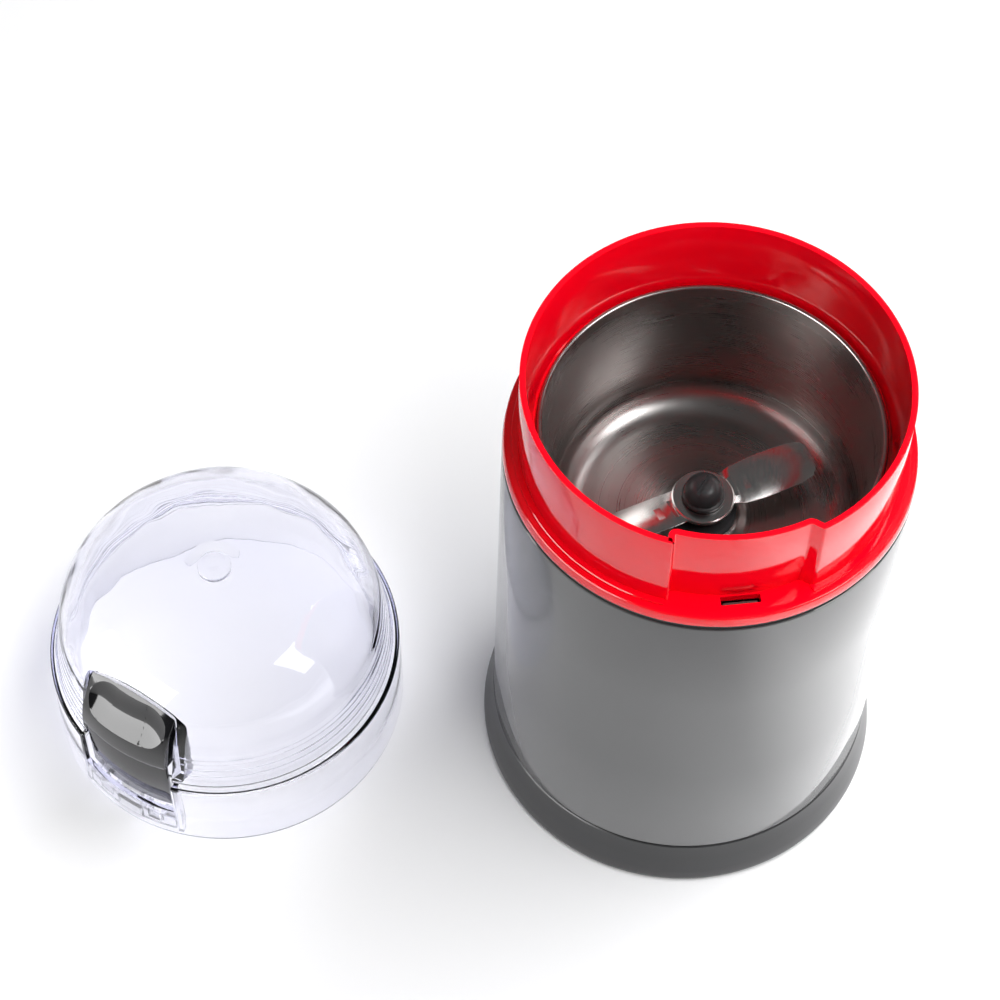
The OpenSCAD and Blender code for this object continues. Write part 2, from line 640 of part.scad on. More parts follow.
module lid_button() color(black) on_lid() difference() {
    union() {
        intersection() {
            block(cap_back, 44, -button_w / 2, button_w / 2, cap_low, 50);
            rotate_extrude() polygon(cap_line);
        }
        front_band(plate_in_r, plate_out_r, button_w / 2 - 0.2, plate_low, cap_low + 0.4);
    }
    rotate([0, 0, -dish_turn]) rotate_extrude(angle = 2 * dish_turn) translate(dish_mid)
        circle(r = dish_r);
    for (turn = [-dish_turn, dish_turn]) rotate([0, 0, turn])
        translate([dish_mid[0], 0, dish_mid[1]]) sphere(r = dish_r);
    block(cap_back + 1.1, 39.1, 2.5 - button_w / 2, button_w / 2 - 2.5, cap_low - 1, 37.6);
    front_band(39, clip_out_r + fit_gap, leg_half + fit_gap, plate_low - 1, 20 + fit_gap);
}

module button_leg() color("#ecebe4") on_lid() {
    front_band(leg_in_r, leg_out_r, leg_half, 0.7, plate_low - touch_gap);
    front_band(leg_in_r, leg_out_r, leg_half + 0.7, 0.7, 1.3);
    front_band(clip_in_r, clip_out_r, leg_half, plate_low - 2, 20);
}

module button_spring() color(steel) on_lid()
    translate([spring_x, 0, 0]) coil(1.7, 0.28, pocket_floor + 0.05, 37.55, 7);

base_ring();
base_plate();
rubber_feet();
base_screws();
outer_shell();
cord_gland();
collar();
collar_gasket();
grinding_bowl();
bowl_seal();
shaft_seal();
stator_core();
field_coils();
upper_bracket();
lower_bracket();
upper_bearing();
lower_bearing();
motor_screws();
motor_bushes();
mount_screws();
brush_holders();
carbon_brushes();
brush_springs();
microswitch();
switch_bracket();
switch_screws();
terminal_block();
capacitor();
lead_wires();
motor_shaft();
rotor_core();
rotor_windings();
commutator();
cooling_fan();
blade_spacer();
blade();
blade_nut();
interlock_plunger();
plunger_spring();
switch_lever();
switch_button();
lid_cover();
button_guide();
lid_button();
button_leg();
button_spring();
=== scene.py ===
"""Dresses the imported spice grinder: shell, base ring, collar, bowl, blade, clear lid and lid button."""

import math

import bmesh
import bpy
from mathutils import Matrix, Vector


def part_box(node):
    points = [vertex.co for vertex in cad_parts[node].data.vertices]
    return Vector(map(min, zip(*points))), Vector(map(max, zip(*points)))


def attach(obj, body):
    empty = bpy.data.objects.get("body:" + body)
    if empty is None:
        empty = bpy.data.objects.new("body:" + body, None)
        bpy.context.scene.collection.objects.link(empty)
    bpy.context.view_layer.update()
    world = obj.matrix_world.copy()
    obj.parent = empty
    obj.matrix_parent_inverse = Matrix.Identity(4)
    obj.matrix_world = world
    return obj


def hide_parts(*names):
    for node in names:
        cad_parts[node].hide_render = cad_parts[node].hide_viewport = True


bl_info = {
    "name": "Spice grinder",
    "version": (1, 0, 0),
    "blender": (4, 5, 0),
    "location": "3D View > Sidebar > Grinder",
    "description": "Models the outside of an electric spice grinder round its packed parts",
    "category": "Add Mesh",
}

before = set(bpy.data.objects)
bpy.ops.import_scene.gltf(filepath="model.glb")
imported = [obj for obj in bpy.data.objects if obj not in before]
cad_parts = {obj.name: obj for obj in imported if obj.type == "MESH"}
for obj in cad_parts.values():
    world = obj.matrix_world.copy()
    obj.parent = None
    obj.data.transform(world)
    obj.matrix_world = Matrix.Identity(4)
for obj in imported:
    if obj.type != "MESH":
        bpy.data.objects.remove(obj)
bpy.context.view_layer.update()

MM = 0.001
SHELL_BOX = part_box("outer_shell")
LID_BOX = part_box("lid_cover")
BODY = Vector(((SHELL_BOX[0].x + SHELL_BOX[1].x) / 2, 0, 0))
LID = Vector(((LID_BOX[0].x + LID_BOX[1].x) / 2, (LID_BOX[0].y + LID_BOX[1].y) / 2, 0))

# Steps round an axis for the body, the lid and small turned pieces
BODY_STEPS, LID_STEPS, SMALL_STEPS = 256, 192, 96

# Heights and radii that several outlines share, in millimetres
SHELL_FOOT, SHELL_TOP = 14.6, 116.9
WALL_FOOT, WALL_R, RECESS_R = 120.9, 41.5, 39.05
SLOT_R, SLOT_OFF = 40.3, math.radians(0.5)
BOWL_FLOOR = 91.0
BLADE_MIDDLE, BLADE_ROOT, BLADE_PITCH = 97.85, 7.2, math.radians(14)
SHOULDER, CROWN_Z = (17.3, 33.5), -35.87
POCKET_HALF, SPRING_X = 12.6, 36.95
GLAND_Z = 26

# Strength of the world's light on matt surfaces
PLAIN_LIGHT = 0.18


# Sizes and colours that a user may change


class GrinderSizes(bpy.types.PropertyGroup):
    """Sizes of the visible pieces"""

    seam: bpy.props.FloatProperty(
        name="Seam", description="Width of the dark seam between shell and base ring",
        default=0.0004, min=0.0002, max=0.001, subtype="DISTANCE", unit="LENGTH")
    rim_round: bpy.props.FloatProperty(
        name="Rim rounding", description="Rounding of the edges of the collar's rim",
        default=0.0004, min=0.0001, max=0.0006, subtype="DISTANCE", unit="LENGTH")
    wall: bpy.props.FloatProperty(
        name="Collar wall", description="Thickness of the collar's wall at the rim",
        default=0.0013, min=0.0008, max=0.0016, subtype="DISTANCE", unit="LENGTH")
    recess_turn: bpy.props.FloatProperty(
        name="Recess direction", description="Direction of the middle of the collar's recess",
        default=math.radians(-83), subtype="ANGLE", unit="ROTATION")
    recess_half: bpy.props.FloatProperty(
        name="Recess half angle", description="Half the angle that the collar's recess spans",
        default=math.radians(21.5), subtype="ANGLE", unit="ROTATION")
    button_turn: bpy.props.FloatProperty(
        name="Button direction", description="Direction that the lid button faces",
        default=math.radians(-121.5), subtype="ANGLE", unit="ROTATION")
    button_width: bpy.props.FloatProperty(
        name="Button width", description="Width of the lid button's cap",
        default=0.0238, min=0.02, max=0.0238, subtype="DISTANCE", unit="LENGTH")
    blade_reach: bpy.props.FloatProperty(
        name="Blade reach", description="Distance from the shaft to the blade's tips",
        default=0.0268, min=0.02, max=0.027, subtype="DISTANCE", unit="LENGTH")


class GrinderColours(bpy.types.PropertyGroup):
    """Colours of the visible finishes"""

    collar: bpy.props.FloatVectorProperty(
        name="Collar", description="Colour of the glossy collar",
        default=(0.96, 0.0, 0.01), size=3, min=0, max=1, subtype="COLOR")
    shell: bpy.props.FloatVectorProperty(
        name="Shell", description="Colour of the glossy shell",
        default=(0.03, 0.03, 0.032), size=3, min=0, max=1, subtype="COLOR")
    base: bpy.props.FloatVectorProperty(
        name="Base ring", description="Colour of the base ring",
        default=(0.035, 0.035, 0.037), size=3, min=0, max=1, subtype="COLOR")
    button: bpy.props.FloatVectorProperty(
        name="Button", description="Colour of the lid button",
        default=(0.004, 0.004, 0.005), size=3, min=0, max=1, subtype="COLOR")
    lid_tint: bpy.props.FloatVectorProperty(
        name="Lid tint", description="Tint that the clear lid takes on through its thick edges",
        default=(0.28, 0.30, 0.80), size=3, min=0, max=1, subtype="COLOR")


def sizes():
    return bpy.context.scene.grinder_sizes


def colours():
    return bpy.context.scene.grinder_colours


# Modelling by hand


def clear_selection():
    if bpy.context.mode != "OBJECT":
        bpy.ops.object.mode_set(mode="OBJECT")
    bpy.ops.object.select_all(action="DESELECT")


def pick(obj):
    clear_selection()
    obj.select_set(True)
    bpy.context.view_layer.objects.active = obj
    return obj


def edit(obj):
    pick(obj)
    bpy.ops.object.mode_set(mode="EDIT")
    return bmesh.from_edit_mesh(obj.data)


def leave():
    bpy.ops.object.mode_set(mode="OBJECT")


def choose(obj, test, kind="VERT"):
    """Selects the corners or faces of the edited mesh that pass the test."""
    bpy.ops.mesh.select_mode(type=kind)
    mesh = bmesh.from_edit_mesh(obj.data)
    for part in (*mesh.verts, *mesh.edges, *mesh.faces):
        part.select = False
    if kind == "VERT":
        for v in mesh.verts:
            v.select = test(v.co)
    else:
        for f in mesh.faces:
            f.select = test(f.calc_center_median(), f.normal)
    mesh.select_flush_mode()
    bmesh.update_edit_mesh(obj.data)


def start_corner(name, place):
    """One corner in edit mode, ready to be drawn out into an outline."""
    clear_selection()
    bpy.ops.mesh.primitive_plane_add(size=0.001, location=(0, 0, 0))
    obj = bpy.context.object
    obj.name = name
    bpy.ops.object.mode_set(mode="EDIT")
    bpy.ops.mesh.select_mode(type="VERT")
    bpy.ops.mesh.select_all(action="SELECT")
    bpy.ops.mesh.merge(type="CENTER")
    bpy.ops.transform.translate(value=place)
    return obj


def draw_outline(name, points):
    """Draws a closed line by extruding its last corner from point to point, and stays in edit mode."""
    points = [Vector(p) for p in points]
    obj = start_corner(name, points[0])
    for a, b in zip(points, points[1:]):
        bpy.ops.mesh.extrude_region_move(TRANSFORM_OT_translate={"value": b - a})
    mesh = bmesh.from_edit_mesh(obj.data)
    for v in mesh.verts:
        v.select = len(v.link_edges) == 1
    mesh.select_flush_mode()
    bmesh.update_edit_mesh(obj.data)
    bpy.ops.mesh.edge_face_add()
    return obj


def tidy_mesh(obj):
    """Merges doubles and turns the faces outwards."""
    edit(obj)
    bpy.ops.mesh.select_mode(type="VERT")
    bpy.ops.mesh.select_all(action="SELECT")
    bpy.ops.mesh.remove_doubles(threshold=0.000002)
    bpy.ops.mesh.select_all(action="SELECT")
    bpy.ops.mesh.normals_make_consistent(inside=False)
    leave()
    return obj


def turn_profile(name, profile, middle, steps, sweep=2 * math.pi, start=0.0):
    """Spins an outline of radius and height, in millimetres, round an upright axis."""
    points = [
        (middle.x + r * MM * math.cos(start), middle.y + r * MM * math.sin(start), z * MM)
        for r, z in profile]
    obj = draw_outline(name, points)
    bpy.ops.mesh.select_all(action="SELECT")
    full = sweep == 2 * math.pi
    if not full:
        bpy.ops.mesh.edge_face_add()
        bpy.ops.mesh.select_all(action="SELECT")
    bpy.ops.mesh.spin(
        steps=steps, angle=-sweep, use_auto_merge=full, center=(middle.x, middle.y, 0),
        axis=(0, 0, 1))
    leave()
    return tidy_mesh(obj)


def round_edges(obj, width, segments=3, angle=35):
    """Rounds every sharp edge with a Bevel modifier."""
    pick(obj)
    bevel = obj.modifiers.new("Rounding", "BEVEL")
    bevel.width = width
    bevel.segments = segments
    bevel.limit_method = "ANGLE"
    bevel.angle_limit = math.radians(angle)
    bpy.ops.object.modifier_apply(modifier=bevel.name)
    return obj


def smooth(obj, angle=40):
    pick(obj)
    bpy.ops.object.shade_smooth_by_angle(angle=math.radians(angle))
    return obj


def bring_together(name, *objs):
    """Joins several pieces of one moulding into one object."""
    clear_selection()
    for o in objs:
        o.select_set(True)
    bpy.context.view_layer.objects.active = objs[0]
    bpy.ops.object.join()
    objs[0].name = name
    return objs[0]


def carve(obj, cutter, how="DIFFERENCE"):
    """Cuts or adds another solid, which is then deleted."""
    pick(obj)
    change = obj.modifiers.new("Carve", "BOOLEAN")
    change.operation = how
    change.solver = "EXACT"
    change.object = cutter
    bpy.ops.object.modifier_apply(modifier=change.name)
    pick(cutter)
    bpy.ops.object.delete()
    return pick(obj)


def block(name, low, high, place=None):
    """A box between two corners in millimetres, turned and moved by place."""
    clear_selection()
    low, high = Vector(low) * MM, Vector(high) * MM
    bpy.ops.mesh.primitive_cube_add(size=1, location=(low + high) / 2)
    obj = bpy.context.object
    obj.name = name
    bpy.ops.object.mode_set(mode="EDIT")
    bpy.ops.mesh.select_all(action="SELECT")
    bpy.ops.transform.resize(value=high - low, center_override=(low + high) / 2)
    leave()
    settle(obj)
    if place is not None:
        obj.data.transform(place)
    return obj


def settle(obj):
    """Puts the object's place into its mesh."""
    pick(obj)
    bpy.ops.object.transform_apply(location=True, rotation=True, scale=True)
    return obj


def at(middle, turn):
    return Matrix.Translation(middle) @ Matrix.Rotation(turn, 4, "Z")


def arc(cx, cz, r, start, end, steps):
    """Points in millimetres along an arc, with its angles in degrees."""
    return [
        (cx + r * math.cos(math.radians(start + (end - start) * i / steps)),
         cz + r * math.sin(math.radians(start + (end - start) * i / steps)))
        for i in range(steps + 1)]


def polish(obj, finish, body, *nodes, slot=None):
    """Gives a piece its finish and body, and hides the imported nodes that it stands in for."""
    obj.data.materials.clear()
    obj.data.materials.append(finish)
    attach(obj, body)
    if nodes:
        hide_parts(*nodes)
    return obj


# Finishes


def new_finish(name):
    finish = bpy.data.materials.new(name)
    finish.use_nodes = True
    tree = finish.node_tree
    return finish, tree, tree.nodes["Principled BSDF"]


def feed(socket, value):
    """Sets an input, or links it if the value is an output of another node."""
    if isinstance(value, bpy.types.NodeSocket):
        socket.id_data.links.new(value, socket)
    else:
        socket.default_value = value


def adjust(made, **values):
    """Sets a node's inputs and settings by name, with underscores for the spaces in an input's name."""
    for key, value in values.items():
        label = key.replace("_", " ")
        if label in made.inputs:
            feed(made.inputs[label], value)
        else:
            setattr(made, key, value)
    return made


def node(tree, kind, *inputs, **values):
    """Adds a node. Its first inputs may be given in order, and the others by name."""
    made = adjust(tree.nodes.new("ShaderNode" + kind), **values)
    for socket, value in zip(made.inputs, inputs):
        feed(socket, value)
    return made


def calc(tree, operation, a, b):
    return node(tree, "Math", a, b, operation=operation).outputs["Value"]


def span(tree, source, low, high, start=0.0, end=1.0, **settings):
    """Maps the range from start to end onto the range from low to high."""
    return node(tree, "MapRange", Value=source, From_Min=start, From_Max=end, To_Min=low, To_Max=high,
                **settings).outputs["Result"]


def tone(tree, source, dark, light):
    mix = node(tree, "Mix", data_type="RGBA", Factor=source, A=(*dark, 1), B=(*light, 1))
    return mix.outputs["Result"]


def grain(tree, scale, detail, stretch=(1, 1, 1)):
    """Noise in the piece's own space."""
    place = node(tree, "TexCoord").outputs["Object"]
    mapping = node(tree, "Mapping", Vector=place, Scale=stretch)
    noise = node(tree, "TexNoise", Vector=mapping.outputs["Vector"], Scale=scale, Detail=detail)
    return noise.outputs["Fac"]


def bump(tree, height, strength, distance, **values):
    return node(tree, "Bump", Height=height, Strength=strength, Distance=distance, **values).outputs["Normal"]


def moulded(name, colour, rough, spread, ripple, ripple_scale, fine, fine_scale, shade=0.06, **values):
    """Moulded plastic: faint waviness, fine grain, and colour and gloss that vary a little."""
    finish, tree, shader = new_finish(name)
    skin = grain(tree, fine_scale, 3)
    dark = tuple(c * (1 - shade) for c in colour)
    light = tuple(min(1, c * (1 + shade)) for c in colour)
    broad = bump(tree, grain(tree, ripple_scale, 2), 0.5, ripple)
    adjust(shader, Base_Color=tone(tree, grain(tree, 60, 4), dark, light),
           Roughness=span(tree, skin, rough - spread, rough + spread),
           Normal=bump(tree, skin, 0.5, fine, Normal=broad), **values)
    return finish


def drawn_steel(name, colour, rough, around=True, scale=3600):
    """Steel with fine lines, which run round the body's axis or along the blade."""
    finish, tree, shader = new_finish(name)
    place = node(tree, "TexCoord").outputs["Object"]
    spot = node(tree, "Mapping", Vector=place, Location=-BODY).outputs["Vector"]
    if around:
        apart = node(tree, "SeparateXYZ", spot).outputs
        flat = node(tree, "CombineXYZ", apart["X"], apart["Y"]).outputs["Vector"]
        reach = node(tree, "VectorMath", flat, operation="LENGTH").outputs["Value"]
        spot = node(tree, "CombineXYZ", reach, apart["Z"]).outputs["Vector"]
    else:
        along = node(tree, "Mapping", Vector=spot, Rotation=(0, 0, math.radians(-25)), Scale=(1, 0.06, 1))
        spot = along.outputs["Vector"]
    lines = node(tree, "TexNoise", Vector=spot, Scale=scale, Detail=4.0).outputs["Fac"]
    smeared = calc(tree, "MULTIPLY", lines, grain(tree, 90, 4))
    adjust(shader, Base_Color=tone(tree, lines, tuple(c * 0.86 for c in colour), colour), Metallic=1.0,
           Roughness=span(tree, smeared, rough - 0.08, rough + 0.2), Normal=bump(tree, lines, 0.25, 0.000006))
    return finish


def clear_plastic(name, tint):
    """Clear styrene that takes on a violet tint where light travels far through it."""
    finish, tree, shader = new_finish(name)
    adjust(shader, Base_Color=(0.995, 0.995, 1.0, 1), Transmission_Weight=1.0, IOR=1.5,
           Roughness=span(tree, grain(tree, 2500, 3), 0.0, 0.03),
           Normal=bump(tree, grain(tree, 180, 2), 0.35, 0.00004))
    # light passes straight through on its way to what lies in the shadow
    shadow = node(tree, "LightPath").outputs["Is Shadow Ray"]
    passing = node(tree, "BsdfTransparent", Color=(0.88, 0.88, 0.885, 1)).outputs["BSDF"]
    surface = node(tree, "MixShader", shadow, shader.outputs["BSDF"], passing)
    depth = node(tree, "VolumeAbsorption", Color=(*tint, 1), Density=26.0)
    adjust(tree.nodes["Material Output"], Surface=surface.outputs["Shader"], Volume=depth.outputs["Volume"])
    return finish


def laminated(name, colour):
    """Stacked iron sheets, seen as fine level lines."""
    finish, tree, shader = new_finish(name)
    rust = grain(tree, 400, 5)
    lines = grain(tree, 3000, 1, (0.001, 0.001, 1))
    adjust(shader, Base_Color=tone(tree, rust, tuple(c * 0.6 for c in colour), colour), Metallic=0.9,
           Roughness=span(tree, rust, 0.35, 0.6), Normal=bump(tree, lines, 0.8, 0.00005))
    return finish


def wound_copper(name, colour):
    """Varnished wire laid side by side."""
    finish, tree, shader = new_finish(name)
    place = node(tree, "TexCoord").outputs["Object"]
    wave = node(tree, "TexWave", Vector=place, Scale=900, Distortion=0.6, bands_direction="DIAGONAL")
    wires = wave.outputs["Fac"]
    adjust(shader, Base_Color=tone(tree, wires, tuple(c * 0.35 for c in colour), colour), Metallic=0.85,
           Roughness=span(tree, grain(tree, 700, 3), 0.22, 0.4), Normal=bump(tree, wires, 0.9, 0.0001))
    return finish


# Pieces


class GrinderShell(bpy.types.Operator):
    """Model the tapered tube that the hand holds"""

    bl_idname = "grinder.shell"
    bl_label = "Shell"

    def execute(self, context):
        low_r, top_r = 45.7, 44.85
        profile = [
            (low_r - 1.4, SHELL_FOOT), (low_r - 0.35, SHELL_FOOT), (low_r - 0.08, 14.75), (low_r, 15.1),
            (low_r - 0.28, 50), (low_r - 0.56, 84), (top_r + 0.02, 116.4), (top_r - 0.08, 116.75),
            (top_r - 0.3, SHELL_TOP), (top_r - 1.4, SHELL_TOP), (low_r - 1.9, 60)]
        tube = turn_profile("shell_tube", profile, BODY, BODY_STEPS)
        smooth(tube, 30)
        finish = moulded("gunmetal_gloss", colours().shell, 0.42, 0.03, 0.00002, 90, 0.000002, 9000,
                         shade=0.05, Coat_Weight=1.0, Coat_IOR=1.48)
        polish(tube, finish, "root", "outer_shell", slot="shell_plastic")
        return {"FINISHED"}


class GrinderBase(bpy.types.Operator):
    """Model the flared ring under the shell"""

    bl_idname = "grinder.base"
    bl_label = "Base ring"

    def execute(self, context):
        top = SHELL_FOOT - sizes().seam / MM
        profile = [
            (35, 4.4), (44.6, 4.4), (44.6, 1.2), (45.0, 0.7), (45.5, 0.6), (47.2, 0.6),
            (47.75, 0.9), (47.97, 1.6), (47.98, 2.4), (47.62, 5), (46.65, 9.5), (45.98, 12.6),
            (45.78, top - 0.35), (45.55, top - 0.08), (45.2, top), (43.8, top), (43.8, 20),
            (42.6, 20), (42.6, 6.4), (35, 6.4)]
        ring = turn_profile("base_moulding", profile, BODY, BODY_STEPS)
        smooth(ring, 30)
        finish = moulded("base_satin", colours().base, 0.3, 0.04, 0.00002, 150, 0.000006, 5000)
        polish(ring, finish, "root", "base_ring", slot="base_plastic")
        return {"FINISHED"}


def polar(r, angle):
    """A point on the body, in metres, from a radius in millimetres and an angle in radians."""
    return Vector((BODY.x + r * MM * math.cos(angle), BODY.y + r * MM * math.sin(angle), 0))


def wall_line():
    """The outer line of the collar's wall: a circle that steps inwards at the recess."""
    convex, concave = 0.6, 0.45
    lean, flare, flare_r = 0.22, 0.6, 40.3
    middle, half = sizes().recess_turn, sizes().recess_half
    bend = arc(convex, WALL_R - convex, convex, 90, 180, 5)
    bend += [(-concave + concave * math.cos(a), RECESS_R + concave + concave * math.sin(a))
             for a in (math.radians(d) for d in (-12, -30, -48, -66, -90))]
    # the left step leans in a little and the right step opens out
    left = [(r, -half - (u - lean * (r - RECESS_R)) / r) for u, r in bend]
    right = [(r, half + (u + flare * (r - flare_r)) / r) for u, r in bend]
    start, end = right[0][1], left[0][1] + 2 * math.pi
    line = [(WALL_R, start + (end - start) * i / 208) for i in range(1, 208)]
    line += left
    start, end = left[-1][1], right[-1][1]
    line += [(RECESS_R, start + (end - start) * i / 24) for i in range(1, 24)]
    line += reversed(right)
    return [polar(r, middle + a) for r, a in line]


def from_axis(co):
    return math.hypot(co.x - BODY.x, co.y - BODY.y) / MM


def off_recess(co):
    """Angle between a point and the middle of the recess, in degrees."""
    a = math.atan2(co.y - BODY.y, co.x - BODY.x) - sizes().recess_turn
    return abs(math.degrees((a + math.pi) % (2 * math.pi) - math.pi))


def collar_wall():
    """The wall that the lid slides over, drawn as one line and pulled up."""
    foot = Vector((0, 0, WALL_FOOT * MM))
    wall = draw_outline("collar_wall", [p + foot for p in wall_line()])
    for rise in (6.1, 8, 8.5):
        top = max(v.co.z for v in bmesh.from_edit_mesh(wall.data).verts)
        choose(wall, lambda co, top=top: co.z > top - 0.0001)
        bpy.ops.mesh.extrude_region_move(TRANSFORM_OT_translate={"value": (0, 0, rise * MM)})
    # the recess leans back a little from its foot to its rim
    choose(wall, lambda co: co.z / MM < 121 and off_recess(co) < 20)
    bpy.ops.transform.resize(value=(0.991, 0.991, 1), center_override=(BODY.x, BODY.y, 0.121))
    leave()
    tidy_mesh(wall)
    thick = wall.modifiers.new("Wall", "SOLIDIFY")
    thick.thickness = sizes().wall
    thick.offset = -1
    thick.use_even_offset = True
    bpy.ops.object.modifier_apply(modifier=thick.name)
    # inside, the wall grows thicker towards its foot
    edit(wall)
    for level, r in ((WALL_FOOT, 38.25), (127.0, 38.3), (135.0, 39.2)):
        choose(wall, lambda co, level=level: abs(co.z / MM - level) < 0.2 and from_axis(co) < 41
               and off_recess(co) > 24.6)
        s = r / (WALL_R - sizes().wall / MM)
        bpy.ops.transform.resize(value=(s, s, 1), center_override=(BODY.x, BODY.y, level * MM))
    leave()
    return round_edges(wall, sizes().rim_round, 3, 50)


class GrinderCollar(bpy.types.Operator):
    """Model the glossy collar with its ledge, its wall, its recess and its slot"""

    bl_idname = "grinder.collar"
    bl_label = "Collar"

    def execute(self, context):
        profile = [
            (43.3, 110), (43.3, 118.4), (44.6, 118.4), (44.79, 118.5), (44.85, 118.7), (44.76, 119.6),
            (44.58, 120.5), (44.44, 120.9), (44.3, 121.05), (44.1, 121.1), (42, 121.1), (38.5, 121.1),
            (38.5, 124.8), (37.1, 124.8), (36.95, 124.65), (36.95, 123.6), (38.1, 123.4), (38.1, 119.3),
            (41.9, 119.3), (41.9, 110)]
        body = turn_profile("collar_ledge", profile, BODY, BODY_STEPS)
        turn, half = sizes().recess_turn, sizes().recess_half
        slot = block("slot_cutter", (38.95, -4.2, 118), (41, 4.2, 123), at(BODY, turn + SLOT_OFF))
        round_edges(slot, 0.25 * MM, 2)
        carve(body, slot)
        open_end = half + math.radians(0.2)
        ring = turn_profile(
            "collar_ring", [(41.0, 120.8), (42.9, 120.8), (42.9, 121.45), (42.75, 121.6), (41.0, 121.6)],
            BODY, 232, 2 * math.pi - 2 * open_end, turn + open_end)
        wall = collar_wall()
        collar = bring_together("collar_moulding", body, wall, ring)
        smooth(collar, 35)
        finish = moulded("red_gloss", colours().collar, 0.07, 0.015, 0.00001, 120, 0.000002, 8000,
                         shade=0.04, IOR=1.58)
        polish(collar, finish, "root", "collar", slot="red_plastic")
        return {"FINISHED"}


class GrinderBowl(bpy.types.Operator):
    """Model the drawn steel bowl with its rolled rim and the seal in its floor"""

    bl_idname = "grinder.bowl"
    bl_label = "Bowl"

    def execute(self, context):
        floor = BOWL_FLOOR
        inside = [(6.95, floor + 1.6), (8.3, floor + 1.6), (8.9, floor + 1.3), (9.9, floor + 0.25),
                  (10.6, floor), (18, floor + 0.02)]
        inside += arc(25.5, floor + 8, 8, -90, 0, 14)
        inside += [(34.2, 106), (35.1, 115), (35.9, 122)]
        rim = arc(36.95, 126.0, 0.62, 172, -40, 12)
        outside = [(36.9, 125.2), (36.4, 121), (35.7, 115), (34.8, 106)]
        outside += arc(25.5, floor + 8, 8.58, 0, -90, 14)
        outside += [(10.5, floor - 0.58), (8.6, floor + 0.7), (8.2, floor + 1), (6.95, floor + 1)]
        bowl = turn_profile("bowl_pressing", inside + rim + outside, BODY, 224)
        smooth(bowl, 40)
        steel = drawn_steel("bowl_steel", (0.45, 0.43, 0.42), 0.3)
        polish(bowl, steel, "root", "grinding_bowl", slot="bowl_steel")
        profile = [
            (3.4, 90.9), (7.5, 90.9), (7.5, 91.9), (6.85, 91.95), (6.85, 92.65), (7.8, 92.7), (7.75, 93.0),
            (7.1, 93.45), (5.0, 93.45), (4.8, 93.1), (4.4, 93.1), (4.2, 93.45), (3.4, 93.45)]
        seal = turn_profile("floor_seal", profile, BODY, SMALL_STEPS)
        smooth(seal, 30)
        polish(seal, bpy.data.materials["rubber_black"], "root", "shaft_seal", slot="gland_rubber")
        return {"FINISHED"}


class GrinderBlade(bpy.types.Operator):
    """Model the two-winged blade with its hub, and its domed nut"""

    bl_idname = "grinder.blade"
    bl_label = "Blade"

    def wing(self, turn):
        """One wing: a flat bar drawn outwards in steps, narrowed, sharpened and pitched."""
        reach = sizes().blade_reach / MM
        wing = block("wing", (4.5, -4.3, 97.25), (6.0, 4.3, 98.45))
        stations = [(8.5, 1.12), (13, 1.06), (18, 1.0), (22.5, 0.97), (reach - 1.2, 0.86), (reach, 0.62)]
        edit(wing)
        x = 6.0
        middle = Vector((0, 0, BLADE_MIDDLE * MM))
        for far, width in stations:
            choose(wing, lambda c, n, x=x: abs(c.x / MM - x) < 0.01 and abs(n.x) > 0.5, "FACE")
            bpy.ops.mesh.extrude_region_move(TRANSFORM_OT_translate={"value": ((far - x) * MM, 0, 0)})
            choose(wing, lambda co, far=far: abs(co.x / MM - far) < 0.01)
            bpy.ops.transform.resize(value=(1, width, 1), center_override=(far * MM, 0, middle.z))
            x = far
        # both long edges are ground thin
        for side in (-1, 1):
            choose(wing, lambda c, n, side=side: n.y * side > 0.6 and c.x / MM > 7, "FACE")
            bpy.ops.transform.resize(value=(1, 1, 0.25), center_override=(0, 0, middle.z))
        leave()
        for v in wing.data.vertices:
            past_root = v.co.x / MM - BLADE_ROOT
            if past_root > 0:
                share = min(1, past_root / 5 + 0.35)
                v.co = Matrix.Rotation(BLADE_PITCH * share, 3, "X") @ (v.co - middle) + middle
        round_edges(wing, 0.12 * MM, 2, 25)
        wing.data.transform(at(BODY, turn))
        return wing

    def execute(self, context):
        profile = [(2.1, 97.22), (6.7, 97.22), (7, 97.4), (7, 98.3), (6.7, 98.48), (2.1, 98.48)]
        hub = turn_profile("blade_hub", profile, BODY, SMALL_STEPS)
        wings = [self.wing(math.radians(turn)) for turn in (25, 205)]
        blade = bring_together("blade_pressing", hub, *wings)
        smooth(blade, 25)
        steel = drawn_steel("blade_steel", (0.7, 0.69, 0.68), 0.2, around=False, scale=2000)
        polish(blade, steel, "rotor", "blade", slot="bowl_steel")
        profile = [
            (0, 98.6), (4.5, 98.6), (4.75, 98.75), (4.75, 99.5), (4.6, 99.7), (4.15, 99.85), (4.15, 100.2),
            (4.35, 100.4), (4.2, 101.4), (3.6, 102.7), (2.6, 103.5), (1.4, 103.88), (0, 103.97)]
        nut = turn_profile("nut_dome", profile, BODY, SMALL_STEPS)
        carve(nut, block("nut_slot", (-6, -0.45, 103.1), (6, 0.45, 105), at(BODY, math.radians(60))))
        smooth(nut, 35)
        polish(nut, bpy.data.materials["nylon_black"], "rotor", "blade_nut", slot="inner_plastic")
        return {"FINISHED"}


